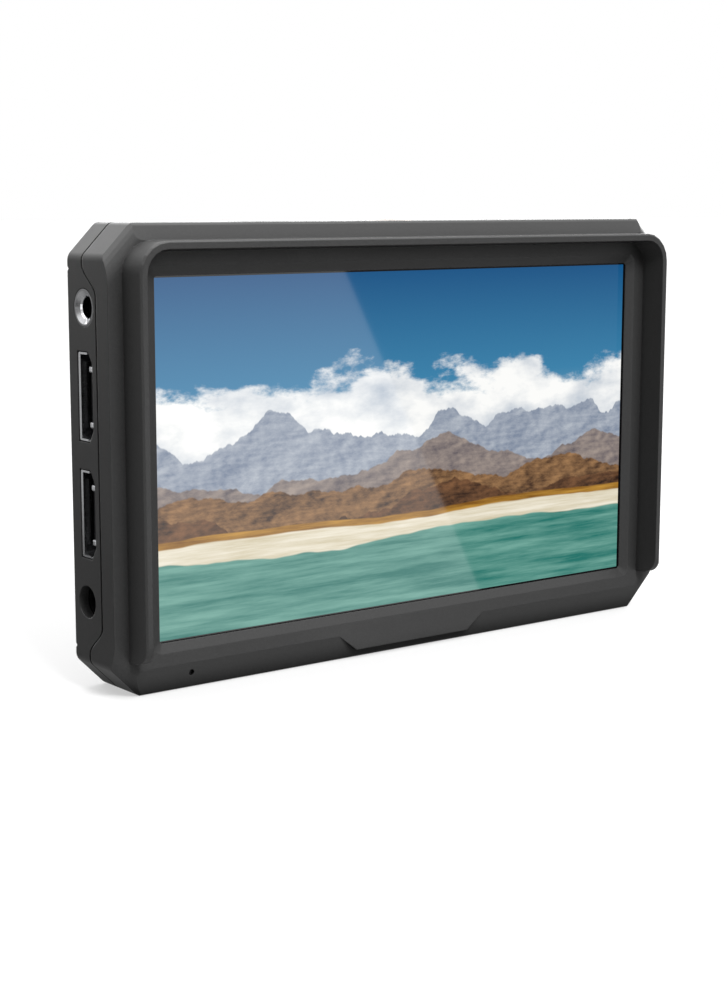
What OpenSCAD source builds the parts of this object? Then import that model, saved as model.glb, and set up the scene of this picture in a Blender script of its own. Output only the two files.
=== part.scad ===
// Five inch camera field monitor with a moulded sun hood.
// The origin is the mouth of the lower tripod thread: +X is the viewer's right, +Y runs away
// from the viewer into the housing, and +Z is up. Depths are counted from the bezel face, and
// heights from the middle of the picture.

/* [Screen] */
// Width of the picture
picture_w = 110.7; // [100:0.1:120]
// Height of the picture
picture_h = 62.3; // [60:0.1:68]
// Width of the display module's border at each side of the picture
module_side = 3.9; // [3.5:0.1:4.3]
// Height of the display module's border above and below the picture
module_end = 1.65; // [1.4:0.05:1.8]
// Thickness of the display glass
glass_t = 1; // [0.8:0.05:1.1]
// Thickness of the backlight
light_t = 1.3; // [1:0.05:1.4]
// Thickness of the steel tray
tray_t = 0.3; // [0.2:0.05:0.35]

/* [Housing] */
// Width of the border from the picture to the housing's side
side_border = 9.65; // [9.4:0.05:12]
// Height of the border from the picture to the housing's top and bottom
end_border = 9.2; // [9:0.05:12]
// Depth of the housing from the bezel face to the rear face
body_d = 13.55; // [13.3:0.05:16]
// Wall thickness of both housings
wall = 1.8; // [1.5:0.1:2]
// Thickness of the rear wall
rear_wall = 1.1; // [0.9:0.05:1.2]
// Corner facet, measured along each side
facet = 5.6; // [4.5:0.1:6.5]
// Rounding where a facet meets a side
facet_round = 2; // [0.6:0.1:2.4]
// Rounding of the rear edge
rear_round = 0.3; // [0.2:0.1:0.8]
// Depth of the shallow panel across the middle of the back
back_recess = 0.3; // [0.1:0.05:0.4]
// Depth of the two grooves across the back
groove_d = 0.7; // [0.3:0.1:0.8]

/* [Bezel] */
// Depth at which the bezel slopes reach the housing's sides
rim_d = 1.85; // [1.5:0.05:2.2]
// Height of the slope along the top of the bezel
top_slope = 3; // [2:0.1:3.2]
// Height of the slope along the bottom of the bezel
bottom_slope = 4.9; // [4:0.1:5.2]
// Rounding of the front edges
edge_round = 0.5; // [0.3:0.05:0.7]
// Width of the chamfer round the picture
frame_chamfer = 1.7; // [1:0.1:2]
// Thickness of the bezel over the screen
bezel_t = 1.1; // [1:0.05:1.3]
// Width of the raised tab at its lower end
tab_w = 27; // [20:1:36]
// Height of the raised tab below the bezel face
tab_h = 3.1; // [2:0.1:3.5]

/* [Sun hood] */
// How far the hood stands forward of the bezel face
hood_d = 5.1; // [4.6:0.1:8]
// Distance of the hood's lip from the housing's side
hood_side = 3.3; // [3.1:0.1:4]
// Distance of the hood's top from the housing's top
hood_end = 2.95; // [2.9:0.05:3.5]
// Distance of the hood's lower right end from the housing's bottom
hood_foot = 8; // [6.5:0.1:14]
// Distance of the hood's lower left end from the housing's bottom
hood_foot_left = 6.7; // [6.5:0.1:14]
// Thickness of the hood at its lip
hood_wall = 1.35; // [1.2:0.05:1.6]
// Draft of each hood face from root to lip
hood_draft = 0.5; // [0.3:0.05:0.6]
// Outer corner radius of the hood
hood_r = 5.5; // [4.5:0.1:7]
// Rounding of the hood's lip
lip_round = 0.3; // [0.2:0.05:0.6]

/* [Parting line] */
// Depth of the parting line along the middle of each side
seam_side = 3.8; // [3.6:0.1:4.2]
// Depth of the parting line at the corners, the top and the bottom
seam_corner = 8.2; // [7.6:0.1:8.6]
// Gap between the two housings at the parting line
seam_gap = 0.25; // [0.1:0.05:0.4]
// Length of the tongue behind the parting line
tongue = 1; // [0.6:0.1:1.2]

/* [Ports] */
// Diameter of the headphone collar
collar_dia = 6.3; // [6:0.1:6.5]
// Height of the headphone socket above the middle of the picture
phone_z = 26.2; // [24.5:0.1:26.4]
// Height of the upper video socket above the middle of the picture
video_in_z = 11.2; // [10:0.1:12.5]
// Height of the lower video socket above the middle of the picture
video_out_z = -8.9; // [-10:0.1:-7]
// Height of the power socket above the middle of the picture
power_z = -24.2; // [-25:0.1:-22.5]
// Diameter of the power socket's mouth
power_dia = 5.7; // [5.4:0.1:5.8]

/* [Tripod threads] */
// Distance from the bezel face to the middle of the threads
thread_setback = 7.6; // [7.3:0.1:7.9]
// Radius of the threaded hole
thread_r = 2.55; // [2.45:0.05:2.65]
// Diameter of the brass bush in the wall
bush_dia = 8.4; // [8:0.1:8.6]
// Length of the bush
bush_l = 6.4; // [6:0.1:6.6]

/* [Keys] */
// Width of a key
key_w = 9; // [7:0.5:10]
// Height of a key
key_h = 4.6; // [4:0.1:5]
// Distance from key to key
key_pitch = 7.6; // [7.3:0.1:8]
// Distance of the key column from the housing's side
key_inset = 17; // [15:0.5:20]
// Travel of a key
key_travel = 0.5; // [0.3:0.1:0.6]

/* [Battery plate] */
// Width of the battery that the plate takes
battery_w = 38.6; // [38:0.1:40]
// Height of the plate
plate_h = 59; // [57:1:60]
// Thickness of the plate
plate_t = 4.6; // [4.4:0.1:5.5]
// Width of the plate's side rails
rail_w = 2.4; // [2:0.1:3]
// Height of the rails above the plate
rail_h = 4.6; // [4.2:0.1:6]
// Travel of the battery catch
catch_travel = 1.7; // [1.4:0.1:1.8]

/* [Hidden] */
$fn = 48;
far = 100;
clear = 0.1;
loose = 0.3;

// Overall size
body_w = picture_w + 2 * side_border;
body_h = picture_h + 2 * end_border;
mid = body_h / 2;
side = body_w / 2;

// Front to back stations
polariser_t = 0.2;
glass_d = bezel_t + loose;
light_d = glass_d + glass_t;
tray_d = light_d + light_t;
board_t = 1;
board_front = tray_d + tray_t + loose;
board_d = board_front + board_t;
front_skin = 1.35;
floor_d = rim_d + front_skin;
seat_d = body_d - back_recess;
inner_d = seat_d - rear_wall;

// Picture opening and display
picture_gap = 0.3;
window_w = picture_w + 2 * picture_gap;
window_h = picture_h + 2 * picture_gap;
window_land = 0.25;
module_w = picture_w + 2 * module_side;
module_h = picture_h + 2 * module_end;
film_edge = 0.9;
polariser_w = picture_w + 2 * film_edge;
polariser_h = picture_h + 2 * film_edge;
flex_w = 26;
flex_x = 22;
flex_t = 0.12;
flex_l = 11;

// Corner bevel of the bezel, measured square to the facet: an arc that leaves the bezel face
corner_bevel = 3.5;
corner_bevel_r = (corner_bevel * corner_bevel + rim_d * rim_d) / (2 * rim_d);
corner_steps = 6;
tab_slope = 4.2;

// Hood
hood_foot_r = 0.68 * hood_d;
hood_inner_r = hood_r - hood_wall;

// Parting line
seam_low = mid - 12.2;
seam_high = mid - 7;
tongue_t = 0.8;

// Back
recess_half = mid - 9.8;
groove_z = mid - 7.8;

// Video sockets
video_w = 15;
video_h = 4.6;
video_l = 13;
video_step = 2.1;
video_slant = 1.4;
steel = 0.35;
video_set = 0.1;
video_rise = 0.4;
video_mid_d = board_d + video_rise + video_h / 2;
port_x = -side + video_set;
tongue_set = 1.6;
tongue_w = 11.4;
tongue_h = 1.2;
tongue_base = 4;
tongue_off = 0.35;
tab_set = 0.15;
tab_l = 2;
tab_wide = 1.2;
tab_reach = 0.75;
tab_z = 4.7;
shell_foot_l = 2;
shell_foot_w = 1.2;
shell_foot_z = 4.5;

// Headphone and power sockets
socket_x = -side + wall + loose;
phone_body = 5.2;
phone_h = 6.6;
phone_mid_d = board_d + clear + phone_body / 2;
phone_l = 13.5;
phone_r = 1.8;
phone_bore_l = 12;
collar_edge = 0.35;
collar_dish = 0.5;
power_body = power_dia + 0.6;
power_mid_d = inner_d - clear - power_body / 2;
power_l = 12.5;
power_bore_l = 9.5;
power_pin_r = 1;

// Tripod bushes
bush_block_w = 12;
bush_front = floor_d + 0.2;
bush_back = inner_d - 0.35;
bush_fit = 0.2;
rib_t = 1.4;
rib_h = 4.4;

// Screws, pilot holes and bosses
screw_r = 0.95;
pilot_r = 1;
through_r = 1.15;
head_r = 1.9;
head_h = 1.3;
head_deep = 1.6;
cross_l = 2.2;
cross_w = 0.5;
boss_r = 2.4;
post_r = 3;
inner_col = 24;
screw_cols = [side - 9, inner_col];
screw_z = mid - wall - boss_r - 0.4;
boss_split = seam_corner - 1.1;

// Main board
board_w = 2 * (side - wall - 1.2);
board_h = module_h - 3.6;
ear_x = side - 19;
ear_w = 13;
ear_z = module_h / 2 + boss_r + 0.2;
ear_h = ear_z + boss_r;
ear_pilot = 1.2;
board_head_h = 0.9;

// Indicator
pip_x = -side + 15.6;
pip_z = -mid + 3;
pip_r = 0.5;
pip_sink = 1.2;
pip_flange_r = 0.9;
pip_flange_t = 0.5;
led_w = 1.6;
led_h = 0.8;

// Processor, pad and heat sink
chip_x = -side + 29;
chip_z = 12;
chip_w = 15;
chip_t = 1.2;
pad_t = 0.5;
sink_w = 21;
sink_h = 24;
sink_t = 1;
fins = 7;
fin_t = 0.8;
sink_d = board_d + chip_t + pad_t;

// Vents and loudspeaker
vents = 7;
vent_w = 18;
vent_h = 1.6;
vent_pitch = 3.4;
speaker_x = -side + 28;
speaker_z = -17;
speaker_w = 19;
speaker_h = 13;
speaker_t = 3.2;
speaker_r = 2;
magnet_r = 3.9;
magnet_t = 0.6;
foam_t = 0.6;
foam_rim = 1.5;
grilles = 6;
grille_w = 1.2;
grille_h = 8;
grille_pitch = 2.5;

// Keys
keys = 6;
key_x = side - key_inset;
key_proud = 0.45;
key_fit = 0.15;
key_r = 1.2;
power_key_r = 0.62 * key_h;
key_flange = 1;
key_flange_t = 0.8;
key_stem_r = 1.6;
key_stem_l = 0.5;
plunger_r = 1;
plunger_l = 1.1;
switch_w = 5.2;
switch_t = 1.5;
key_top_d = seat_d + key_proud;
key_foot_d = inner_d - clear - key_flange_t - key_stem_l;
switch_top_d = key_foot_d - key_travel - clear;
keyboard_t = 1;
keyboard_d = switch_top_d - switch_t;
keyboard_w = 14;
key_well_edge = 0.8;
key_well_d = 0.4;
keyboard_screw_z = keys * key_pitch / 2 + 2.9;
keyboard_h = 2 * (keyboard_screw_z + 2.6);

// Battery plate, catch and contacts
lever_w = 9.8;
plate_w = battery_w + 2 * rail_w + lever_w;
plate_x = lever_w / 2;
plate_d = seat_d + plate_t;
plate_r = 2.5;
rail_x = battery_w / 2 + rail_w / 2;
hook_t = 1.6;
hook_in = 1.5;
hook_l = 8;
hooks = [16, -7];
skin_t = 1.4;
catch_z = 12;
catch_x = battery_w / 2 + 0.8;
catch_l = 20;
catch_h = 9;
catch_t = 0.8;
tooth_w = 4.6;
tooth_h = 1.6;
tooth_l = 7;
tooth_top = 1.5;
catch_tooth_x = battery_w / 2 - tooth_w / 2 - 2;
pad_w = 5.6;
pad_h = 1.2;
pad_l = 8.8;
pad_ribs = 4;
pad_rib_pitch = 1.9;
pad_rib_w = 0.8;
pad_rib_h = 0.4;
catch_pad_x = battery_w / 2 + rail_w + 0.8 + pad_w / 2;
catch_seat_d = plate_d - skin_t - clear;
spring_wire_r = 0.2;
spring_sides = 6;
spring_steps = 16;
spring_turns = 3;
spring_low_r = 4;
spring_high_r = 1.6;
spring_low = seat_d + spring_wire_r;
spring_high = catch_seat_d - catch_t - spring_wire_r;
contact_w = 15;
contact_h = 6;
contact_t = 4.6;
contact_z = -plate_h / 2 + contact_h / 2 + 1.5;
contact_pitch = 4.5;
slot_w = 1.2;
slot_h = 1.3;
slot_end = 0.8;
blade_w = 0.8;
blade_l = 4;
blade_end = 1.2;
plate_screw_x = battery_w / 2 - 4.5;
plate_screw_z = plate_h / 2 - 4.6;
plate_post_l = 3.4;
header_w = 8;
header_h = 5;
header_t = 4;
flex_socket_h = 3;
flex_socket_t = 1;
link_w = 3;
link_h = 12;
lead_pitch = 3;
lead_r = 0.6;
lead_hole = [9, 3.6];

// Place of a depth along Y, and of a height along Z
function at(depth) = depth - thread_setback;
function up(height) = mid + height;

// Unit vector, and an arc of points that rounds the corner b of the path a, b, c
function unit(v) = v / norm(v);
function corner_arc(a, b, c, r, steps = 5) =
    let (u = unit(a - b), v = unit(c - b), half = acos(u * v) / 2)
    let (centre = b + unit(u + v) * r / sin(half), first = b + u * r / tan(half) - centre)
    let (start = atan2(first[1], first[0]), sweep = 180 - 2 * half)
    [for (i = [0:steps])
        centre + r * [cos(start + sweep * i / steps), sin(start + sweep * i / steps)]];

// Closed outline of convex corners, counter-clockwise, each rounded by its own radius
function rounded(corners, radii) =
    let (n = len(corners))
    [for (i = [0:n - 1])
        each corner_arc(corners[(i + n - 1) % n], corners[i], corners[(i + 1) % n], radii[i])];

// Faceted outline of the housing, drawn in by an inset
function housing_outline(inset = 0) =
    let (x = side - inset, z = mid - inset, f = facet - inset * (2 - sqrt(2)))
    rounded([[x, -z + f], [x, z - f], [x - f, z], [-x + f, z], [-x, z - f], [-x, -z + f],
        [-x + f, -z], [x - f, -z]], [for (i = [0:7]) max(facet_round - inset, 0.3)]);

// Rectangle with rounded corners
function plate_outline(w, h, r) =
    rounded([[w / 2, -h / 2], [w / 2, h / 2], [-w / 2, h / 2], [-w / 2, -h / 2]], [r, r, r, r]);

// Depth of the parting line at a height: it steps back in an S near the corners
function s_curve(t) = t <= 0 ? 0 : t >= 1 ? 1 : t * t * (3 - 2 * t);
function seam_depth(height) =
    let (t = (abs(height) - seam_low) / (seam_high - seam_low))
    seam_side + (seam_corner - seam_side) * s_curve(t);
seam_steps = 8;
seam_rise = [for (i = [0:seam_steps]) seam_low + (seam_high - seam_low) * i / seam_steps];
seam_heights = concat([-far], [for (i = [seam_steps:-1:0]) -seam_rise[i]], seam_rise, [far]);

// Upright prism from one depth to another, over an outline in X and height
module slab(from, to) {
    translate([0, at(to), mid])
        rotate([90, 0, 0])
            linear_extrude(to - from)
                children();
}

// Prism along X, over an outline of depths and heights
module across(from_x, to_x) {
    translate([from_x, at(0), mid])
        rotate([90, 0, 90])
            linear_extrude(to_x - from_x)
                children();
}

// Box from one depth to another, centred in X and height
module block(x, height, w, h, from, to) {
    translate([x - w / 2, at(from), up(height) - h / 2])
        cube([w, to - from, h]);
}

// Round bar along Y from one depth to another
module bar(x, height, r, from, to) {
    translate([x, at(to), up(height)])
        rotate([90, 0, 0])
            cylinder(r = r, h = to - from);
}

// Round bar along X
module cross_bar(from_x, to_x, depth, height, r) {
    translate([from_x, at(depth), up(height)])
        rotate([0, 90, 0])
            cylinder(r = r, h = to_x - from_x);
}

// Copies at the four sign pairs of a place
module at_corners(x, height) {
    for (sx = [-1, 1])
        for (sz = [-1, 1])
            translate([sx * x, 0, sz * height])
                children();
}

module at_housing_screws() {
    for (x = screw_cols)
        at_corners(x, screw_z)
            children();
}

// Everything in front of the parting line, moved back by an offset
module ahead_of_seam(shift = 0) {
    across(-far, far)
        polygon(concat([[-far, -far]], [for (h = seam_heights) [seam_depth(h) + shift, h]],
            [[-far, far]]));
}

// The whole housing as one faceted block with a rounded rear edge
module housing_block() {
    hull() {
        slab(0, body_d - rear_round)
            polygon(housing_outline());
        slab(body_d - 0.01, body_d)
            polygon(housing_outline(rear_round * 0.7));
    }
}

// Cuts the slope along the top of the bezel, or with flip the one along the bottom
module long_slope(rise, flip) {
    back = rim_d - edge_round;
    across(-far, far)
        polygon([for (p = [[-far, mid - rise], [0, mid - rise], [back, mid - edge_round],
            [back + edge_round * 0.7, mid - edge_round * 0.3], [rim_d + edge_round, mid],
            [rim_d, far], [-far, far]]) [p[0], flip * p[1]]]);
}

// Cuts the bevel at one corner facet, an arc that falls from the bezel face to the rim
module corner_slope() {
    translate([side - facet / 2, at(0), mid - facet / 2])
        rotate([0, -45, 0])
            linear_extrude(4 * facet, center = true)
                polygon(concat([[far, -far], [far, rim_d]],
                    [for (i = [corner_steps:-1:0])
                        let (s = corner_bevel * i / corner_steps)
                        [s - corner_bevel, corner_bevel_r - sqrt(pow(corner_bevel_r, 2) - s * s)]],
                    [[-corner_bevel, -far]]));
}

// Raised tab that keeps the bezel face going down over the lower slope
module bezel_tab() {
    half = tab_w / 2;
    top = -mid + bottom_slope + clear;
    low = -mid + bottom_slope - tab_h;
    slab(-1, rim_d)
        polygon([[-half - tab_slope, top], [-half, low], [half, low], [half + tab_slope, top]]);
}

function hood_outline(half_w, top, r) =
    rounded([[half_w, -far], [half_w, top], [-half_w, top], [-half_w, -far]], [1, r, r, 1]);

// U-shaped hood with draft, a rounded lip, and open below
module hood() {
    half = side - hood_side;
    top = mid - hood_end;
    thin = hood_wall + hood_draft;
    difference() {
        hull() {
            slab(-hood_d, 0.01 - hood_d)
                polygon(hood_outline(half - lip_round, top - lip_round, hood_r - lip_round));
            slab(lip_round - hood_d, lip_round - hood_d + 0.01)
                polygon(hood_outline(half, top, hood_r));
            slab(0, rim_d)
                polygon(hood_outline(half + hood_draft, top, hood_r));
        }
        hull() {
            slab(-hood_d - 1, -hood_d)
                polygon(hood_outline(half - hood_wall, top - hood_wall, hood_inner_r));
            slab(-0.01, 0)
                polygon(hood_outline(half - thin, top - thin, hood_inner_r));
        }
        hood_cut(-far, hood_foot_left - mid);
        hood_cut(0, hood_foot - mid);
    }
}

// Ends one wall of the hood at a height and rounds its lower front corner
module hood_cut(from_x, foot) {
    r = hood_foot_r;
    across(from_x, from_x + far) {
        translate([-far, foot - 2 * far])
            square([2 * far, 2 * far]);
        difference() {
            translate([-hood_d - 1, foot - 1])
                square([r + 1, r + 1]);
            translate([r - hood_d, foot + r])
                circle(r = r);
        }
    }
}

// Picture opening with its chamfer
module picture_window() {
    hull() {
        slab(-0.01, 0)
            polygon(plate_outline(window_w + 2 * frame_chamfer, window_h + 2 * frame_chamfer, 1.6));
        slab(bezel_t - window_land, bezel_t - window_land + 0.01)
            polygon(plate_outline(window_w, window_h, 0.6));
    }
    slab(0, bezel_t + 1)
        polygon(plate_outline(window_w, window_h, 0.6));
}

// Tongue inside the parting line, which the rear housing's rebate fits over
module seam_tongue() {
    intersection() {
        ahead_of_seam(tongue);
        difference() {
            slab(floor_d, body_d)
                polygon(housing_outline(wall - tongue_t));
            slab(floor_d - 1, body_d + 1)
                polygon(housing_outline(wall));
        }
    }
}

// Round holes for the two tripod bushes
module bush_holes() {
    translate([0, 0, -1])
        cylinder(d = bush_dia + 2 * bush_fit, h = wall + 1 + clear);
    translate([0, 0, body_h - wall - clear])
        cylinder(d = bush_dia + 2 * bush_fit, h = wall + 1 + clear);
}

module front_housing() {
    color("#2b2c2e")
        difference() {
            union() {
                difference() {
                    front_block();
                    slab(floor_d, far)
                        polygon(housing_outline(wall));
                }
                seam_tongue();
                at_housing_screws()
                    bar(0, 0, boss_r, floor_d - clear, boss_split);
                at_corners(ear_x, ear_z)
                    bar(0, 0, boss_r, floor_d - clear, board_front);
            }
            slab(bezel_t, floor_d + 1)
                polygon(plate_outline(module_w + 2 * loose, module_h + 2 * loose, 0.5));
            picture_window();
            bar(pip_x, pip_z, pip_r + clear / 2, -1, floor_d + 1);
            bush_holes();
            at_housing_screws()
                bar(0, 0, pilot_r, floor_d + loose, far);
            at_corners(ear_x, ear_z)
                bar(0, 0, pilot_r, floor_d - ear_pilot, far);
        }
}

// Outside of the front housing, still solid: faceted block, bezel slopes and hood
module front_block() {
    difference() {
        intersection() {
            housing_block();
            ahead_of_seam();
        }
        long_slope(top_slope, 1);
        difference() {
            long_slope(bottom_slope, -1);
            bezel_tab();
        }
        for (sx = [0, 1])
            for (sz = [0, 1])
                translate([0, 0, mid])
                    mirror([sx, 0, 0])
                        mirror([0, 0, sz])
                            corner_slope();
    }
    hood();
}

module rear_housing() {
    color("#292a2c")
        difference() {
            union() {
                difference() {
                    housing_block();
                    ahead_of_seam(seam_gap);
                    slab(-1, inner_d)
                        polygon(housing_outline(wall));
                }
                rear_posts();
                bush_ribs();
            }
            tongue_rebate();
            back_cuts();
            port_cuts();
            bush_holes();
            rear_screw_holes();
            key_openings();
            vent_slots();
            block(0, contact_z, lead_hole[0], lead_hole[1], inner_d - 1, body_d + 1);
        }
}

// Room for the tongue, cut from the rear housing's wall and from what stands beside it
module tongue_rebate() {
    intersection() {
        ahead_of_seam(tongue + seam_gap);
        difference() {
            slab(-1, body_d)
                polygon(housing_outline(wall - tongue_t - clear));
            slab(-2, body_d + 1)
                polygon(housing_outline(wall + clear));
        }
    }
}

// Shallow panel across the back, and the two V-grooves above and below it
module back_cuts() {
    across(-far, far)
        polygon([[seat_d, -recess_half], [seat_d, recess_half],
            [far, recess_half + back_recess + far - body_d],
            [far, -recess_half - back_recess - far + body_d]]);
    for (z = [-groove_z, groove_z])
        across(-far, far)
            polygon([[body_d - groove_d, z], [body_d + 1, z + groove_d + 1],
                [body_d + 1, z - groove_d - 1]]);
}

// Video socket outline in depth and height: wide at the back, with two cut corners in front
module video_profile(grow = 0) {
    low = video_mid_d - video_h / 2 - grow;
    high = video_mid_d + video_h / 2 + grow;
    half = video_w / 2 + grow;
    polygon([[high, -half], [high, half], [low + video_slant, half], [low, half - video_step],
        [low, video_step - half], [low + video_slant, -half]]);
}

module port_cuts() {
    cross_bar(-side - 1, -side + wall + 1, phone_mid_d, phone_z, collar_dia / 2 + clear);
    cross_bar(-side - 1, -side + wall + 1, power_mid_d, power_z, power_dia / 2);
    for (z = [video_in_z, video_out_z])
        translate([0, 0, z])
            across(-side - 1, -side + wall + 1)
                video_profile(0.2);
}

// Posts that meet the front bosses, hold the keyboard, and take the plate's screws
module rear_posts() {
    at_housing_screws()
        bar(0, 0, post_r, boss_split + clear, inner_d + clear);
    for (sz = [-1, 1])
        bar(key_x, sz * keyboard_screw_z, boss_r, keyboard_d, inner_d + clear);
    at_corners(plate_screw_x, plate_screw_z)
        bar(0, 0, boss_r, inner_d - plate_post_l, inner_d + clear);
}

// Ribs at each side of the two tripod bushes
module bush_ribs() {
    for (sx = [-1, 1])
        for (z = [wall - clear, body_h - wall - rib_h + clear])
            translate([sx * (bush_block_w / 2 + clear + rib_t / 2) - rib_t / 2, at(floor_d + 1), z])
                cube([rib_t, inner_d - floor_d, rib_h]);
}

module rear_screw_holes() {
    at_housing_screws() {
        bar(0, 0, through_r, boss_split - 1, body_d + 1);
        bar(0, 0, head_r + 0.2, body_d - head_deep, body_d + 1);
    }
    for (sz = [-1, 1])
        bar(key_x, sz * keyboard_screw_z, pilot_r, keyboard_d - 1, inner_d - loose);
    at_corners(plate_screw_x, plate_screw_z)
        bar(0, 0, pilot_r, inner_d - plate_post_l + loose, body_d + 1);
}

// Middle height of a key, counted from the top
function key_z(i) = ((keys - 1) / 2 - i) * key_pitch;

// Outline of a key: the first is round, the rest are rounded bars
module key_shape(i, grow = 0) {
    translate([key_x, key_z(i)])
        if (i == 0)
            circle(r = power_key_r + grow);
        else
            polygon(plate_outline(key_w + 2 * grow, key_h + 2 * grow, key_r + grow));
}

module key_openings() {
    for (i = [0:keys - 1]) {
        slab(inner_d - 1, body_d + 1)
            key_shape(i, key_fit);
        slab(seat_d - key_well_d, body_d + 1)
            key_shape(i, key_well_edge);
    }
}

// Slots over the heat sink, and over the loudspeaker
module vent_slots() {
    for (i = [0:vents - 1])
        slab(inner_d - 1, body_d + 1)
            translate([chip_x, chip_z + (i - (vents - 1) / 2) * vent_pitch])
                polygon(plate_outline(vent_w, vent_h, vent_h / 2 - 0.01));
    for (i = [0:grilles - 1])
        slab(inner_d - 1, body_d + 1)
            translate([speaker_x + (i - (grilles - 1) / 2) * grille_pitch, speaker_z])
                polygon(plate_outline(grille_w, grille_h, grille_w / 2 - 0.01));
}

module screen_gasket() {
    color("#141414")
        slab(bezel_t, glass_d)
            difference() {
                square([module_w - loose, module_h - loose], center = true);
                square([polariser_w + loose, polariser_h + loose], center = true);
            }
}

module front_polariser() {
    color("#2c5f8a")
        slab(glass_d - polariser_t, glass_d)
            square([polariser_w, polariser_h], center = true);
}

module display_glass() {
    color("#30343a")
        slab(glass_d, light_d)
            square([module_w, module_h], center = true);
}

module backlight_unit() {
    color("#e8e8e4")
        slab(light_d, tray_d)
            square([module_w - 2 * tray_t - clear, module_h - 2 * tray_t - clear], center = true);
}

module panel_tray() {
    color("#9a9c9e")
        difference() {
            slab(light_d, tray_d + tray_t)
                square([module_w, module_h], center = true);
            slab(light_d - 1, tray_d)
                square([module_w - 2 * tray_t, module_h - 2 * tray_t], center = true);
        }
}

// Flat cable that turns round the board's lower edge
module display_flex() {
    bend = (board_front + board_d) / 2;
    inner_r = board_t / 2 + clear;
    foot = -board_h / 2 - clear;
    color("#b5722a")
        across(flex_x - flex_w / 2, flex_x + flex_w / 2) {
            for (d = [bend - inner_r - flex_t, bend + inner_r])
                translate([d, foot])
                    square([flex_t, d < bend ? flex_l : flex_l / 2]);
            translate([bend, foot])
                difference() {
                    circle(r = inner_r + flex_t);
                    circle(r = inner_r);
                    translate([-far, 0])
                        square([2 * far, far]);
                }
        }
}

// Board with four ears that reach the screw bosses
module main_board() {
    color("#1d5a3a")
        difference() {
            slab(board_front, board_d) {
                square([board_w, board_h], center = true);
                for (sx = [-1, 1])
                    translate([sx * ear_x - ear_w / 2, -ear_h])
                        square([ear_w, 2 * ear_h]);
            }
            at_corners(ear_x, ear_z)
                bar(0, 0, through_r, board_front - 1, board_d + 1);
        }
}

// Sockets on the main board: battery lead, display cable, keyboard
module board_connectors() {
    color("#ddd8cc") {
        block(0, contact_z, header_w, header_h, board_d, board_d + header_t);
        block(flex_x, (flex_l + flex_socket_h - board_h) / 2 - clear, flex_w + 2 * flex_socket_t,
            flex_socket_h, board_d, board_d + flex_socket_t);
        block(key_x, 0, link_w, link_h, board_d, keyboard_d - keyboard_t);
    }
}

module video_processor() {
    color("#222326")
        block(chip_x, chip_z, chip_w, chip_w, board_d, board_d + chip_t);
}

module thermal_pad() {
    color("#8fa3b5")
        block(chip_x, chip_z, chip_w, chip_w, board_d + chip_t, sink_d);
}

module heat_sink() {
    pitch = (sink_w - fin_t) / (fins - 1);
    color("#7d8083") {
        block(chip_x, chip_z, sink_w, sink_h, sink_d, sink_d + sink_t);
        for (i = [0:fins - 1])
            block(chip_x + (i - (fins - 1) / 2) * pitch, chip_z, fin_t, sink_h,
                sink_d + sink_t - 0.01, inner_d - loose);
    }
}

module headphone_socket() {
    color("#1b1b1c")
        difference() {
            translate([socket_x, at(board_d), up(phone_z) - phone_h / 2])
                cube([phone_l, phone_body + clear, phone_h]);
            cross_bar(socket_x - 1, socket_x + phone_bore_l, phone_mid_d, phone_z, phone_r);
        }
}

// Chromed collar with a dished mouth
module headphone_collar() {
    r = collar_dia / 2;
    lip = phone_r + 0.2;
    color("#d9dadc")
        translate([-side, at(phone_mid_d), up(phone_z)])
            rotate([0, 90, 0])
                rotate_extrude()
                    polygon([[phone_r, collar_dish + 0.3], [lip, collar_dish], [r - collar_edge, 0],
                        [r, 0], [r, wall + loose], [phone_r, wall + loose]]);
}

// Steel shell with a closed back, two spring tabs in its mouth and two feet
module video_shell(z) {
    low = video_mid_d - video_h / 2;
    color("#c9cacc")
        translate([0, 0, z]) {
            difference() {
                across(port_x, port_x + video_l)
                    video_profile();
                across(port_x - 1, port_x + video_l - steel)
                    video_profile(-steel);
            }
            for (s = [-1, 1]) {
                block(port_x + tab_set + tab_l / 2, s * tab_z, tab_l, tab_wide, low + steel - 0.01,
                    low + steel + tab_reach);
                block(port_x + video_l - shell_foot_l, s * shell_foot_z, shell_foot_l, shell_foot_w,
                    board_d, low + 0.01);
            }
        }
}

// Contact tongue on its moulded base, inside the shell
module video_tongue(z) {
    color("#151516")
        translate([0, 0, z]) {
            across(port_x + video_l - steel - tongue_base, port_x + video_l - steel)
                video_profile(-steel - clear / 2);
            translate([port_x + tongue_set, at(video_mid_d + tongue_off) - tongue_h / 2,
                mid - tongue_w / 2])
                cube([video_l - steel - tongue_base - tongue_set + clear, tongue_h, tongue_w]);
        }
}

module power_socket() {
    color("#161617")
        difference() {
            translate([socket_x, at(board_d), up(power_z) - power_body / 2])
                cube([power_l, inner_d - clear - board_d, power_body]);
            cross_bar(socket_x - 1, socket_x + power_bore_l, power_mid_d, power_z, power_dia / 2);
        }
}

module power_centre_pin() {
    color("#c9cacc")
        cross_bar(socket_x + 1, socket_x + power_bore_l, power_mid_d, power_z, power_pin_r);
}

// Brass bush: a round head in the wall and a square body behind it
module thread_bush() {
    color("#b98a4e")
        difference() {
            union() {
                cylinder(d = bush_dia, h = wall + clear);
                translate([-bush_block_w / 2, at(bush_front), wall + clear])
                    cube([bush_block_w, bush_back - bush_front, bush_l - wall - clear]);
            }
            translate([0, 0, -1])
                cylinder(r = thread_r, h = bush_l + 2);
        }
}

module upper_thread_bush() {
    translate([0, 0, body_h])
        mirror([0, 0, 1])
            thread_bush();
}

module lower_thread_bush() {
    thread_bush();
}

module indicator_light_pipe() {
    color("#3a3d40") {
        bar(pip_x, pip_z, pip_r, pip_sink, floor_d + 0.01);
        bar(pip_x, pip_z, pip_flange_r, floor_d, floor_d + pip_flange_t);
    }
}

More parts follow.
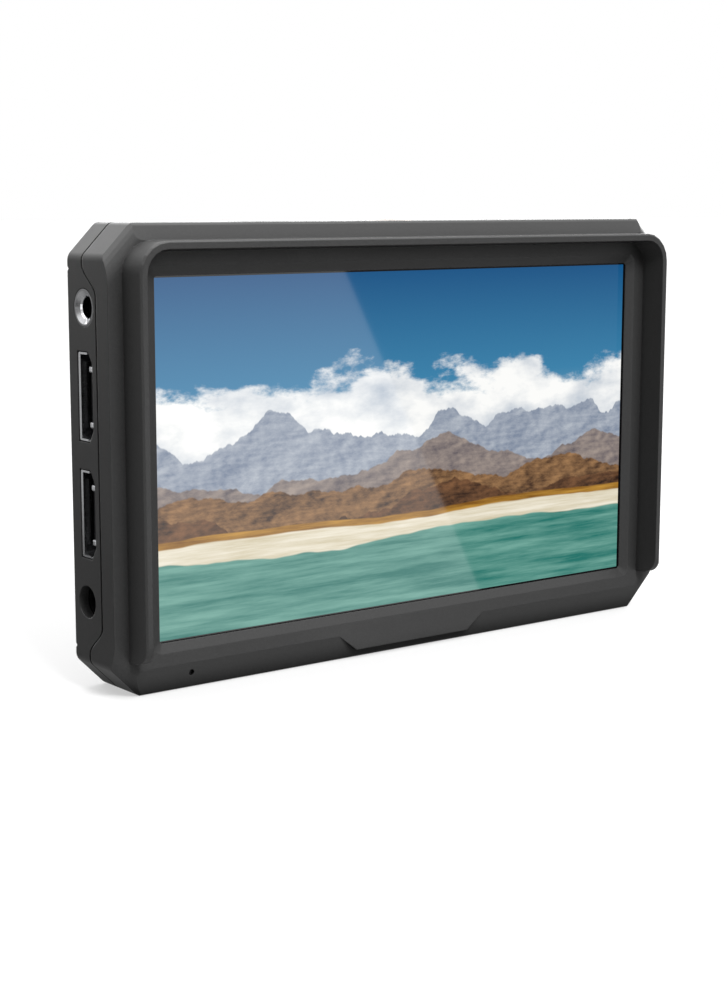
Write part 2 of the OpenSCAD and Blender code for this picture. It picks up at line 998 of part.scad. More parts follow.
module indicator_led() {
    color("#d8d2b8")
        block(pip_x, pip_z, led_w, led_h, floor_d + pip_flange_t, board_front);
}

module loudspeaker() {
    top = inner_d - foam_t;
    color("#1a1a1b") {
        slab(top - speaker_t, top)
            translate([speaker_x, speaker_z])
                polygon(plate_outline(speaker_w, speaker_h, speaker_r));
        bar(speaker_x, speaker_z, magnet_r, top - speaker_t - magnet_t, top - speaker_t + 0.01);
    }
}

module loudspeaker_foam() {
    color("#101010")
        slab(inner_d - foam_t, inner_d)
            translate([speaker_x, speaker_z])
                difference() {
                    polygon(plate_outline(speaker_w, speaker_h, speaker_r));
                    polygon(plate_outline(speaker_w - 2 * foam_rim, speaker_h - 2 * foam_rim,
                        speaker_r / 2));
                }
}

module keyboard_board() {
    color("#1d5a3a")
        difference() {
            slab(keyboard_d - keyboard_t, keyboard_d)
                translate([key_x, 0])
                    polygon(plate_outline(keyboard_w, keyboard_h, 1.5));
            for (sz = [-1, 1])
                bar(key_x, sz * keyboard_screw_z, through_r, 0, far);
        }
}

// One switch body per key, each with a well for its plunger
module tact_switches() {
    color("#3b3d40")
        for (i = [0:keys - 1])
            difference() {
                block(key_x, key_z(i), switch_w, switch_w, keyboard_d, switch_top_d);
                bar(key_x, key_z(i), plunger_r + 0.15, keyboard_d + loose, switch_top_d + 1);
            }
}

// Key cap with a flange that stops it under the rear wall, and a stem to its switch
module key(i) {
    color(i == 0 ? "#b9bbbd" : "#343638") {
        slab(inner_d - clear - 0.01, key_top_d)
            key_shape(i);
        slab(inner_d - clear - key_flange_t, inner_d - clear)
            translate([key_x, key_z(i)])
                polygon(plate_outline(key_w + key_flange, key_h + key_flange, 0.8));
        bar(key_x, key_z(i), key_stem_r, key_foot_d, inner_d - clear - key_flange_t + 0.01);
    }
}

module plunger(i) {
    color("#a34a2e")
        bar(key_x, key_z(i), plunger_r, key_foot_d - plunger_l, key_foot_d);
}

// Plate with two hooked rails, a pocket for the catch and an opening for the contacts
module battery_plate() {
    color("#27282a")
        difference() {
            union() {
                slab(seat_d, plate_d)
                    translate([plate_x, 0])
                        polygon(plate_outline(plate_w, plate_h, plate_r));
                for (sx = [-1, 1]) {
                    block(sx * rail_x, 0, rail_w, plate_h - 2 * plate_r, plate_d - 0.01,
                        plate_d + rail_h);
                    for (z = hooks)
                        block(sx * (battery_w - hook_in) / 2, z, hook_in + 0.02, hook_l,
                            plate_d + rail_h - hook_t, plate_d + rail_h);
                }
            }
            block(0, contact_z, contact_w + 2 * clear, contact_h + 2 * clear, 0, plate_d + 1);
            at_corners(plate_screw_x, plate_screw_z) {
                bar(0, 0, through_r, 0, far);
                bar(0, 0, head_r + 0.2, plate_d - head_deep, far);
            }
            catch_pocket();
        }
}

module catch_pocket() {
    block(catch_x, catch_z, catch_l + 2 * loose, catch_h + 2 * loose, 0, plate_d - skin_t);
    block(catch_tooth_x, catch_z, tooth_w + 2 * loose, tooth_l + 2 * loose, 0, far);
    block(catch_pad_x, catch_z, pad_w + 2 * loose, pad_l + 2 * loose, 0, far);
}

// Catch: a tooth under the battery and a ribbed thumb pad beside it, joined below the plate
module battery_catch() {
    color("#3a3b3d") {
        block(catch_x, catch_z, catch_l, catch_h, catch_seat_d - catch_t, catch_seat_d);
        translate([0, 0, catch_z])
            across(catch_tooth_x - tooth_w / 2, catch_tooth_x + tooth_w / 2)
                polygon([[catch_seat_d - 0.01, -tooth_l / 2], [catch_seat_d - 0.01, tooth_l / 2],
                    [plate_d, tooth_l / 2], [plate_d + tooth_h, tooth_top - tooth_l / 2],
                    [plate_d + tooth_h, -tooth_l / 2]]);
        block(catch_pad_x, catch_z, pad_w, pad_l, catch_seat_d - 0.01, plate_d + pad_h);
        for (i = [0:pad_ribs - 1])
            block(catch_pad_x, catch_z + (i - (pad_ribs - 1) / 2) * pad_rib_pitch, pad_w, pad_rib_w,
                plate_d + pad_h - 0.01, plate_d + pad_h + pad_rib_h);
    }
}

// Cone-shaped coil spring, so that it can press almost flat
spring_points = spring_turns * spring_steps;
function spring_radius(i) = spring_low_r + (spring_high_r - spring_low_r) * i / spring_points;
function spring_depth(i) = spring_low + (spring_high - spring_low) * i / spring_points;
function spring_point(i, out = 0, rise = 0) =
    let (a = 360 * i / spring_steps, r = spring_radius(i) + out)
    [catch_x + r * cos(a), at(spring_depth(i) + rise), up(catch_z) + r * sin(a)];

// Least gap between turns, measured from point to point
spring_gap = min([for (i = [0:spring_points]) for (j = [i + spring_steps / 2:spring_points])
    norm(spring_point(i) - spring_point(j))]) - 2 * spring_wire_r;

module catch_spring() {
    sides = spring_sides;
    last = spring_points * sides;
    echo(least_gap_between_turns = spring_gap);
    color("#8d9094")
        polyhedron(
            [for (i = [0:spring_points]) for (k = [0:sides - 1])
                let (b = 360 * k / sides)
                spring_point(i, spring_wire_r * cos(b), spring_wire_r * sin(b))],
            concat([[for (k = [0:sides - 1]) k]],
                [for (i = [0:spring_points - 1]) for (k = [0:sides - 1])
                    let (a = i * sides + k, b = i * sides + (k + 1) % sides)
                    each [[a, a + sides, b + sides], [a, b + sides, b]]],
                [[for (k = [sides - 1:-1:0]) last + k]]));
}

module contact_block() {
    color("#1c1c1d")
        difference() {
            block(0, contact_z, contact_w, contact_h, seat_d, plate_d + contact_t);
            for (i = [-1:1])
                block(i * contact_pitch, contact_z + (contact_h - slot_h) / 2 + clear, slot_w, slot_h,
                    plate_d + slot_end, plate_d + contact_t - slot_end);
        }
}

// Three contact blades that stand up out of the block towards the battery
module contact_blades() {
    color("#caa85a")
        for (i = [-1:1])
            translate([0, 0, contact_z + contact_h / 2 - slot_h + clear])
                block(i * contact_pitch, blade_l / 2, blade_w, blade_l, plate_d + blade_end,
                    plate_d + contact_t - blade_end);
}

module battery_lead() {
    color("#a33327")
        for (sx = [-1, 1])
            bar(sx * lead_pitch / 2, contact_z, lead_r, board_d + header_t, seat_d);
}

// Pan-headed screw along Y, its head towards the back
module screw(head_d, tip_d, head = head_h) {
    bar(0, 0, screw_r, tip_d, head_d + 0.01);
    difference() {
        bar(0, 0, head_r, head_d, head_d + head);
        block(0, -mid, cross_l, cross_w, head_d + head - cross_w, far);
        block(0, -mid, cross_w, cross_l, head_d + head - cross_w, far);
    }
}

module housing_screws() {
    color("#4a4c4e")
        at_housing_screws()
            screw(body_d - head_deep, floor_d + loose + 0.3);
}

module board_screws() {
    color("#9a9c9e")
        at_corners(ear_x, ear_z)
            screw(board_d, floor_d - ear_pilot + 0.2, board_head_h);
}

// These screws point backwards, so their heads are in front of the keyboard
module keyboard_screws() {
    front = keyboard_d - keyboard_t;
    color("#9a9c9e")
        for (sz = [-1, 1]) {
            bar(key_x, sz * keyboard_screw_z, screw_r, front - 0.01, inner_d - loose - 0.3);
            bar(key_x, sz * keyboard_screw_z, head_r, front - board_head_h, front);
        }
}

module plate_screws() {
    color("#4a4c4e")
        at_corners(plate_screw_x, plate_screw_z)
            screw(plate_d - head_deep, inner_d - plate_post_l + loose + 0.3);
}

front_housing();
rear_housing();
screen_gasket();
front_polariser();
display_glass();
backlight_unit();
panel_tray();
display_flex();
main_board();
board_connectors();
video_processor();
thermal_pad();
heat_sink();
headphone_socket();
headphone_collar();
video_shell(video_in_z);  // video_in_shell
video_tongue(video_in_z);  // video_in_tongue
video_shell(video_out_z);  // video_out_shell
video_tongue(video_out_z);  // video_out_tongue
power_socket();
power_centre_pin();
upper_thread_bush();
lower_thread_bush();
indicator_light_pipe();
indicator_led();
loudspeaker();
loudspeaker_foam();
keyboard_board();
tact_switches();
key(0);  // power_key
key(1);  // input_key
key(2);  // menu_key
key(3);  // up_key
key(4);  // down_key
key(5);  // exit_key
plunger(0);  // power_plunger
plunger(1);  // input_plunger
plunger(2);  // menu_plunger
plunger(3);  // up_plunger
plunger(4);  // down_plunger
plunger(5);  // exit_plunger
battery_plate();
battery_catch();
catch_spring();
contact_block();
contact_blades();
battery_lead();
housing_screws();
board_screws();
keyboard_screws();
plate_screws();
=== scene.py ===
# %% [markdown]
# # A camera field monitor with a moulded sun hood
#
# The monitor is a flat black box: a front shell with a hood round the screen, a rear shell that
# meets it along a stepped line, sockets down its left side and a battery plate on its back. Its
# shapes come ready-made as a fixed frame, so these cells add what the eye reads as real: finishes,
# the lit picture, folded socket shells, cut threads, and the light of a small studio.

# %% Load the frame
import math

import bmesh
import bpy
from mathutils import Matrix, Vector


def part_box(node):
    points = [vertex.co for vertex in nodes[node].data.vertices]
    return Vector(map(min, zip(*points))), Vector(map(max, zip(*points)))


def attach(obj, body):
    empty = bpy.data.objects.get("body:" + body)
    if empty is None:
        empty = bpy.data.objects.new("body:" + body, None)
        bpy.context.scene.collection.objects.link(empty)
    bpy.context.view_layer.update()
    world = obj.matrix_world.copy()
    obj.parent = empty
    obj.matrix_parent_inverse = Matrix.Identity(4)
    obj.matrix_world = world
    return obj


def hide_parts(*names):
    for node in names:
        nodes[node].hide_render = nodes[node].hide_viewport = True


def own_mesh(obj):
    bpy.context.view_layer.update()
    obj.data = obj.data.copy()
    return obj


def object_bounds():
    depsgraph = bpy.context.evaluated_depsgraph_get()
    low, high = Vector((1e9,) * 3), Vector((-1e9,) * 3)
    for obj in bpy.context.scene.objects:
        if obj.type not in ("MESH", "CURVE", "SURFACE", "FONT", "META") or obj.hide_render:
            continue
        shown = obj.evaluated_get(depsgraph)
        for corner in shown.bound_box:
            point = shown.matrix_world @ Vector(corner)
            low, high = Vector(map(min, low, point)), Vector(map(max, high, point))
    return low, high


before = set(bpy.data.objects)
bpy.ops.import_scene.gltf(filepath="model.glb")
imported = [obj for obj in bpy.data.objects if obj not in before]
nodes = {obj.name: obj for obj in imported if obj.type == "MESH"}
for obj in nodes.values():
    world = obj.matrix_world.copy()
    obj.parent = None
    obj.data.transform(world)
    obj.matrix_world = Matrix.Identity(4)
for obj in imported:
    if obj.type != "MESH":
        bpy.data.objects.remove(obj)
cad_bounds = [list(corner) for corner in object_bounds()]
MM = 0.001

# %% [markdown]
# ## The camera
#
# The camera stands to the left and a little above, as in the photograph. Its place was solved from
# the corners of the picture and the housing: two angles, a small roll, a sideways offset and a
# distance. The field of view follows from the focal length in pixels of a 1000 pixel high image.

# %% Place the camera
IMAGE_HEIGHT_PX = 1000
FOCAL_PX = 1876.3
SENSOR_MM = 36
VIEW_AZIMUTH = math.radians(-37.687)
VIEW_ELEVATION = math.radians(9.125)
VIEW_ROLL = math.radians(0.077)
VIEW_OFFSET = Vector((8.769, 11.661, -351.718)) * MM
NEAR_CLIP = 0.01

picture_low, picture_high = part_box("front_polariser")
screen_centre = (picture_low + picture_high) / 2
aim = Vector((0, picture_low.y, screen_centre.z))

right = Vector((math.cos(VIEW_AZIMUTH), math.sin(VIEW_AZIMUTH), 0))
back = Vector((math.sin(VIEW_AZIMUTH) * math.cos(VIEW_ELEVATION),
               -math.cos(VIEW_AZIMUTH) * math.cos(VIEW_ELEVATION),
               math.sin(VIEW_ELEVATION)))
axes = Matrix.Rotation(-VIEW_ROLL, 3, "Z") @ Matrix((right, back.cross(right), back))
eye = aim - axes.transposed() @ VIEW_OFFSET

camera_data = bpy.data.cameras.new("camera")
camera_data.sensor_width = SENSOR_MM
camera_data.lens = FOCAL_PX / IMAGE_HEIGHT_PX * SENSOR_MM
camera_data.clip_start = NEAR_CLIP
camera = bpy.data.objects.new("camera", camera_data)
camera.matrix_world = Matrix.Translation(eye) @ axes.transposed().to_4x4()
bpy.context.scene.collection.objects.link(camera)
bpy.context.scene.camera = camera
print("camera at", [round(c, 4) for c in eye], "lens", round(camera_data.lens, 2), "mm")

# %% [markdown]
# ## Helpers for materials
#
# A colour is picked as an sRGB hex value, and shaders want linear light, so one function turns it.
# Another adds a node: each of its inputs is given a value, or the output of an earlier node. The
# third starts a material. Every pattern is drawn in Object coordinates, which are metres here, so
# a scale is one over a real size.

# %% Colour and node helpers
def linear(hex_value):
    """Linear colour of an sRGB hex value such as "#2b2c2e"."""
    parts = [int(hex_value[i:i + 2], 16) / 255 for i in (1, 3, 5)]
    return [c / 12.92 if c <= 0.04045 else ((c + 0.055) / 1.055) ** 2.4 for c in parts] + [1.0]


def add_node(tree, kind, inputs=None, stops=(), **settings):
    """Adds one shader node, with its settings, input values or links, and any colour stops."""
    node = tree.nodes.new(kind)
    for name, value in settings.items():
        setattr(node, name, value)
    for socket, value in (inputs or {}).items():
        if isinstance(value, bpy.types.NodeSocket):
            tree.links.new(value, node.inputs[socket])
        else:
            node.inputs[socket].default_value = value
    for _ in stops[2:]:
        node.color_ramp.elements.new(0.5)
    for index, (position, colour) in enumerate(stops):
        node.color_ramp.elements[index].position = position
        node.color_ramp.elements[index].color = colour
    return node


def start_material(name, **constants):
    """New material: its node tree, its Principled shader and a surface point's Object coordinate."""
    material = bpy.data.materials.new(name)
    material.use_nodes = True
    tree = material.node_tree
    tree.nodes.clear()
    shader = add_node(tree, "ShaderNodeBsdfPrincipled",
                      {key.replace("_", " "): value for key, value in constants.items()})
    add_node(tree, "ShaderNodeOutputMaterial", {"Surface": shader.outputs["BSDF"]})
    return material, tree, shader, add_node(tree, "ShaderNodeTexCoord").outputs["Object"]


print("mid grey in linear light:", round(linear("#808080")[0], 3))

# %% [markdown]
# ## Moulded ABS
#
# Both shells are black ABS from a spark-eroded mould. The tool's fine pits leave a satin grain of
# about 0.1 mm, too fine to show from here, so it is drawn at 0.3 mm and very shallow. A broader
# noise varies the gloss a little, as handling and flow in the mould do. The Bevel node rounds the
# shading at each edge by a fraction of a millimetre, so that edges catch a thin line of light. In
# a groove or under the hood little light comes in, so the Ambient Occlusion node darkens the
# plastic there and takes its gloss away, which keeps the seam and the hood's inside deep black.

# %% Moulded plastic
ABS_IOR = 1.54
FLOW_MM, PIT_DEPTH_MM = 16, 0.05
CREVICE_SHADE, CREVICE_MM = "#060606", 5
NODE_SAMPLES = 6


def moulded_plastic(name, dark, light, gloss, edge_mm=0.25, grain_mm=0.3, relief=0.12):
    material, tree, shader, place = start_material(name, IOR=ABS_IOR)
    grain = add_node(tree, "ShaderNodeTexNoise",
                     {"Vector": place, "Scale": 1 / (grain_mm * MM), "Detail": 3.0})
    flow = add_node(tree, "ShaderNodeTexNoise",
                    {"Vector": place, "Scale": 1 / (FLOW_MM * MM), "Detail": 4.0, "Roughness": 0.6})
    tone = add_node(tree, "ShaderNodeValToRGB", {"Fac": grain.outputs["Fac"]},
                    stops=[(0.3, linear(dark)), (0.75, linear(light))])
    # Painted shade: where the AO node finds little open sky, the colour is mixed towards a near-black
    # and the specular level is lowered.
    open_sky = add_node(tree, "ShaderNodeAmbientOcclusion", {"Distance": CREVICE_MM * MM},
                        samples=NODE_SAMPLES)
    openness = add_node(tree, "ShaderNodeMapRange",
                        {"Value": open_sky.outputs["AO"], "From Min": 0.25, "From Max": 0.75})
    shaded = add_node(tree, "ShaderNodeMix", {
        0: openness.outputs["Result"], 6: linear(CREVICE_SHADE), 7: tone.outputs["Color"]},
        data_type="RGBA")
    sheen = add_node(tree, "ShaderNodeMapRange",
                     {"Value": open_sky.outputs["AO"], "From Min": 0.35, "From Max": 0.85,
                      "To Min": 0.1, "To Max": 0.5})
    rough = add_node(tree, "ShaderNodeMapRange",
                     {"Value": flow.outputs["Fac"], "From Min": 0.3, "From Max": 0.7,
                      "To Min": gloss[0], "To Max": gloss[1]})
    edge = add_node(tree, "ShaderNodeBevel", {"Radius": edge_mm * MM}, samples=NODE_SAMPLES)
    pits = add_node(tree, "ShaderNodeBump",
                    {"Height": grain.outputs["Fac"], "Normal": edge.outputs["Normal"],
                     "Strength": relief, "Distance": PIT_DEPTH_MM * MM})
    tree.links.new(shaded.outputs[2], shader.inputs["Base Color"])
    tree.links.new(sheen.outputs["Result"], shader.inputs["Specular IOR Level"])
    tree.links.new(rough.outputs["Result"], shader.inputs["Roughness"])
    tree.links.new(pits.outputs["Normal"], shader.inputs["Normal"])
    return material


moulded = {
    "housing": moulded_plastic("moulded_abs_housing", "#242424", "#2b2b2b", (0.32, 0.42)),
    "plate": moulded_plastic("moulded_abs_plate", "#1f2021", "#262728", (0.4, 0.5)),
    "key": moulded_plastic("moulded_abs_key", "#2e3032", "#383a3d", (0.28, 0.36)),
    "power key": moulded_plastic("moulded_abs_power_key", "#8f9194", "#a2a4a7", (0.28, 0.36)),
    "catch": moulded_plastic("moulded_acetal_catch", "#303234", "#3a3c3f", (0.25, 0.32)),
    "plunger": moulded_plastic("moulded_nylon_plunger", "#8a3d28", "#a34a2e", (0.4, 0.5), 0.1),
    "connector": moulded_plastic("moulded_nylon_connector", "#cfc9ba", "#ddd8cc", (0.4, 0.5), 0.1),
    "socket": moulded_plastic("moulded_pbt_socket", "#0b0b0c", "#111112", (0.35, 0.45), 0.1),
    "speaker": moulded_plastic("moulded_abs_speaker_frame", "#141415", "#1d1d1e", (0.4, 0.5), 0.1),
}
print("moulded finishes:", len(moulded))

# %% [markdown]
# ## Metals
#
# A bare metal has no colour under its skin: its reflections carry the colour, so metallic is 1 and
# the finish is all in the roughness. A rolled or turned part has a grain that runs one way, which
# is noise stretched along that way. Plating is smooth, with only a faint cloudiness.

# %% Metals
METAL_RELIEF_MM = 0.02


def metal(name, dark, light, rough, grain_mm=0.2, stretch=(1, 1, 1), relief=0.05):
    material, tree, shader, place = start_material(name, Metallic=1.0)
    along = add_node(tree, "ShaderNodeMapping", {"Vector": place, "Scale": stretch})
    grain = add_node(tree, "ShaderNodeTexNoise",
                     {"Vector": along.outputs["Vector"], "Scale": 1 / (grain_mm * MM), "Detail": 3.0})
    tone = add_node(tree, "ShaderNodeValToRGB", {"Fac": grain.outputs["Fac"]},
                    stops=[(0.3, linear(dark)), (0.7, linear(light))])
    gloss = add_node(tree, "ShaderNodeMapRange",
                     {"Value": grain.outputs["Fac"], "To Min": rough[0], "To Max": rough[1]})
    ridges = add_node(tree, "ShaderNodeBump", {"Height": grain.outputs["Fac"], "Strength": relief,
                                               "Distance": METAL_RELIEF_MM * MM})
    tree.links.new(tone.outputs["Color"], shader.inputs["Base Color"])
    tree.links.new(gloss.outputs["Result"], shader.inputs["Roughness"])
    tree.links.new(ridges.outputs["Normal"], shader.inputs["Normal"])
    return material


metals = {
    "turned brass": metal("turned_brass", "#b98a4e", "#d6ab6c", (0.22, 0.34), stretch=(1, 1, 6)),
    "tinned steel": metal("tin_plated_steel", "#c0c1c3", "#dcdddf", (0.16, 0.28),
                          stretch=(0.2, 1, 1)),
    "nickel": metal("polished_nickel", "#cfd0d2", "#e4e4e6", (0.08, 0.14)),
    "black zinc": metal("black_zinc_steel", "#3b3c3e", "#55575a", (0.3, 0.45)),
    "bright zinc": metal("bright_zinc_steel", "#9c9ea1", "#b4b6b8", (0.25, 0.4)),
    "spring wire": metal("drawn_spring_wire", "#85878a", "#9a9c9f", (0.2, 0.3)),
    "gold": metal("gold_plated_bronze", "#c79d4a", "#dcb765", (0.15, 0.25)),
    "aluminium": metal("anodised_aluminium", "#5d5f62", "#707376", (0.35, 0.5)),
    "switch cover": metal("stamped_steel_cover", "#4a4c4f", "#5e6063", (0.3, 0.45)),
    "tray": metal("plated_sheet_steel", "#8d9093", "#a5a8ab", (0.3, 0.45), stretch=(0.1, 1, 1)),
}
print("metal finishes:", len(metals))

# %% [markdown]
# ## Inner parts
#
# What shows through a vent or a key gap is small: a green board, foam, a silicone pad, red wire and
# an amber film. Each still has its own grain, so that no surface is one flat colour.

# %% Inner finishes
INNER_RELIEF_MM = 0.05


def inner_finish(name, dark, light, grain_mm, roughness, relief=0.1):
    material, tree, shader, place = start_material(name, Roughness=roughness)
    grain = add_node(tree, "ShaderNodeTexNoise",
                     {"Vector": place, "Scale": 1 / (grain_mm * MM), "Detail": 3.0})
    tone = add_node(tree, "ShaderNodeValToRGB", {"Fac": grain.outputs["Fac"]},
                    stops=[(0.3, linear(dark)), (0.7, linear(light))])
    bumps = add_node(tree, "ShaderNodeBump", {"Height": grain.outputs["Fac"], "Strength": relief,
                                              "Distance": INNER_RELIEF_MM * MM})
    tree.links.new(tone.outputs["Color"], shader.inputs["Base Color"])
    tree.links.new(bumps.outputs["Normal"], shader.inputs["Normal"])
    return material


inner = {
    "foam": inner_finish("closed_cell_foam", "#0b0b0b", "#191919", 0.4, 0.9, 0.5),
    "heat pad": inner_finish("silicone_heat_pad", "#7c90a3", "#93a8bb", 0.6, 0.7),
    "board": inner_finish("green_solder_mask", "#134a2e", "#1f6141", 1.2, 0.35),
    "film": inner_finish("amber_polyimide_film", "#a1622a", "#c07f3c", 2.0, 0.3),
    "wire": inner_finish("red_pvc_wire", "#8c2a20", "#a8382b", 0.8, 0.45),
    "chip": inner_finish("black_epoxy_chip", "#19191b", "#242527", 0.3, 0.6),
    "light guide": inner_finish("white_acrylic_light_guide", "#d9d9d4", "#ecece8", 3.0, 0.5),
    "panel glass": inner_finish("dark_panel_glass", "#08090b", "#0d0f12", 5.0, 0.08, 0.02),
    "light pipe": inner_finish("smoked_acrylic_pipe", "#0c0c0d", "#131315", 0.5, 0.25),
    "lamp": inner_finish("epoxy_lamp_package", "#c9c2a4", "#ddd8bf", 0.5, 0.4),
}
print("inner finishes:", len(inner))

# %% [markdown]
# ## Which finish goes where
#
# Each node of the frame is one piece of one material, so a table from node to finish dresses all.

# %% Finish of each node
FINISHES = {
    "front_housing": moulded["housing"], "rear_housing": moulded["housing"],
    "battery_plate": moulded["plate"], "battery_catch": moulded["catch"],
    "screen_gasket": inner["foam"], "loudspeaker_foam": inner["foam"],
    "display_glass": inner["panel glass"], "backlight_unit": inner["light guide"],
    "panel_tray": metals["tray"], "display_flex": inner["film"], "main_board": inner["board"],
    "keyboard_board": inner["board"], "board_connectors": moulded["connector"],
    "video_processor": inner["chip"], "thermal_pad": inner["heat pad"],
    "heat_sink": metals["aluminium"], "headphone_socket": moulded["socket"],
    "headphone_collar": metals["nickel"], "power_socket": moulded["socket"],
    "power_centre_pin": metals["nickel"], "indicator_light_pipe": inner["light pipe"],
    "indicator_led": inner["lamp"], "loudspeaker": moulded["speaker"],
    "tact_switches": metals["switch cover"], "catch_spring": metals["spring wire"],
    "contact_block": moulded["socket"], "contact_blades": metals["gold"],
    "battery_lead": inner["wire"], "housing_screws": metals["black zinc"],
    "plate_screws": metals["black zinc"], "board_screws": metals["bright zinc"],
    "keyboard_screws": metals["bright zinc"],
}
for way in ("in", "out"):
    FINISHES[f"video_{way}_shell"] = metals["tinned steel"]
    FINISHES[f"video_{way}_tongue"] = moulded["socket"]
for end in ("upper", "lower"):
    FINISHES[f"{end}_thread_bush"] = metals["turned brass"]
for key in ("power", "input", "menu", "up", "down", "exit"):
    FINISHES[f"{key}_key"] = moulded["power key" if key == "power" else "key"]
    FINISHES[f"{key}_plunger"] = moulded["plunger"]
print("nodes with a finish:", len(FINISHES))

# %% [markdown]
# ## The picture
#
# The screen is lit from behind, so its colours are emission, under a glossy film that mirrors the
# room. The landscape is drawn with noise alone, on a position that runs from 0 to 1 up the picture
# and in the same unit across it.

# %% Film and position on the picture
PICTURE_W, PICTURE_H = 110.7 * MM, 62.3 * MM
MIDDLE_X, MIDDLE_Z = PICTURE_W / PICTURE_H / 2, 0.5
FILM_BLACK, FILM_ROUGHNESS = "#050506", 0.03

screen_film, picture, film_shader, film_place = start_material(
    "glossy_film_over_lit_picture", Base_Color=linear(FILM_BLACK), Roughness=FILM_ROUGHNESS,
    Emission_Strength=1.0)
point = add_node(picture, "ShaderNodeSeparateXYZ", {"Vector": film_place})
flat = add_node(picture, "ShaderNodeCombineXYZ", {"X": point.outputs["X"], "Y": point.outputs["Z"]})
spot = add_node(picture, "ShaderNodeMapping", {
    "Vector": flat.outputs["Vector"], "Scale": (1 / PICTURE_H,) * 3,
    "Location": (MIDDLE_X, MIDDLE_Z - screen_centre.z / PICTURE_H, 0)}).outputs["Vector"]
split = add_node(picture, "ShaderNodeSeparateXYZ", {"Vector": spot})
picture_x, picture_z = split.outputs["X"], split.outputs["Y"]
print("picture", round(PICTURE_W / MM, 1), "x", round(PICTURE_H / MM, 1), "mm")

# %% [markdown]
# Each layer of the landscape is a mask, one where the height is under a wandering line, and its
# colour is laid over what stands behind it. A slope's light and shade is the difference between a
# noise and the same noise moved a little, as a relief lit from the upper left has.

# %% Layers of the landscape
LINE_SOFT = 0.003
RELIEF_SHIFT, RELIEF_GAIN, RELIEF_MIDDLE = (0.05, -0.04), 2.6, 0.5


def pattern(scale, seed, detail=6.0, roughness=0.55, shift=(0, 0)):
    """Noise over the picture, with lumps of 1 / scale of its height."""
    moved = add_node(picture, "ShaderNodeMapping", {
        "Vector": spot, "Scale": (*scale, 1),
        "Location": (seed + shift[0], seed / 3 + shift[1], 0)})
    return add_node(picture, "ShaderNodeTexNoise", {
        "Vector": moved.outputs["Vector"], "Scale": 1.0, "Detail": detail,
        "Roughness": roughness}).outputs["Fac"]


def ridge(scale, seed, swing, base, detail=6.0):
    """Height of a wandering line across the picture."""
    line = add_node(picture, "ShaderNodeMath", {
        0: pattern((scale, 0), seed, detail), 1: swing, 2: base}, operation="MULTIPLY_ADD")
    return line.outputs["Value"]


def relief(scale, seed):
    """Light and shade on a rough slope, lit from the upper left."""
    here = pattern(scale, seed, 8.0, 0.62)
    there = pattern(scale, seed, 8.0, 0.62, RELIEF_SHIFT)
    slope = add_node(picture, "ShaderNodeMath", {0: here, 1: there}, operation="SUBTRACT")
    return add_node(picture, "ShaderNodeMath", {
        0: slope.outputs["Value"], 1: RELIEF_GAIN, 2: RELIEF_MIDDLE}, operation="MULTIPLY_ADD"
    ).outputs["Value"]


def lay(under, grain, dark, light, span, line, soft=LINE_SOFT):
    """Lays a layer below its line over under, from dark to light as its grain crosses the span."""
    top = add_node(picture, "ShaderNodeValToRGB", {"Fac": grain}, stops=[
        (span[0], linear(dark)), (span[1], linear(light))])
    gap = add_node(picture, "ShaderNodeMath", {0: line, 1: picture_z}, operation="SUBTRACT")
    mask = add_node(picture, "ShaderNodeMapRange", {
        "Value": gap.outputs["Value"], "From Min": -soft, "From Max": soft},
        interpolation_type="SMOOTHSTEP")
    return add_node(picture, "ShaderNodeMix", {
        0: mask.outputs["Result"], 6: under, 7: top.outputs["Color"]}, data_type="RGBA").outputs[2]


# %% [markdown]
# The sky pales towards the horizon. A bank of cloud stands in front of it, whose top edge comes
# from noise in both directions, so that it puffs and breaks instead of running as a line.

# %% Sky and cloud
CLOUD_SWING, CLOUD_BASE, CLOUD_SOFT = 0.62, 0.37, 0.03

colour = add_node(picture, "ShaderNodeValToRGB", {"Fac": picture_z}, stops=[
    (0.4, linear("#86b3c6")), (0.68, linear("#377fa8")), (1.0, linear("#0f5284"))]).outputs["Color"]
puffs = add_node(picture, "ShaderNodeMath", {
    0: pattern((2.4, 4.5), 4.0, 8.0, 0.6), 1: CLOUD_SWING, 2: CLOUD_BASE},
    operation="MULTIPLY_ADD")
colour = lay(colour, pattern((4, 7), 9.0, 7.0), "#b4bfcc", "#fbfbf9", (0.3, 0.58),
             puffs.outputs["Value"], CLOUD_SOFT)
print("sky and cloud:", len(picture.nodes), "nodes")

# %% [markdown]
# Far ranges stand in haze, and nearer hills have lit and shaded folds. In front of them lie dry
# grass, a sand bar and the water, whose edges wander a little.

# %% Ranges and shore
SLOPE_SPAN, SHORE_SPAN = (0.3, 0.7), (0.36, 0.64)
SHORE_LINE_SCALE, SHORE_LINE_DETAIL = 1.1, 4.0

for seed, scale, swing, base, folds, dark, light in (
        (21.0, 1.8, 0.62, 0.24, (3, 6), "#77849a", "#b3bac4"),
        (57.0, 1.3, 0.52, 0.17, (3, 6), "#625b60", "#a3958c"),
        (33.0, 1.5, 0.46, 0.14, (3, 7), "#3a2519", "#a27a52"),
        (47.0, 2.1, 0.34, 0.13, (3, 7), "#24150e", "#80593a")):
    colour = lay(colour, relief(folds, seed + 1.5), dark, light, SLOPE_SPAN,
                 ridge(scale, seed, swing, base))
for seed, swing, base, grain, dark, light in (
        (61.0, 0.08, 0.24, (3, 40), "#7a4f12", "#c08f38"),
        (61.0, 0.08, 0.22, (3, 60), "#cfc4a6", "#efe8d6"),
        (75.0, 0.16, 0.13, (2, 30), "#1f7268", "#6fa699")):
    colour = lay(colour, pattern(grain, seed + 2.5, 7.0, 0.65), dark, light, SHORE_SPAN,
                 ridge(SHORE_LINE_SCALE, seed, swing, base, SHORE_LINE_DETAIL))
print("landscape:", len(picture.nodes), "nodes")

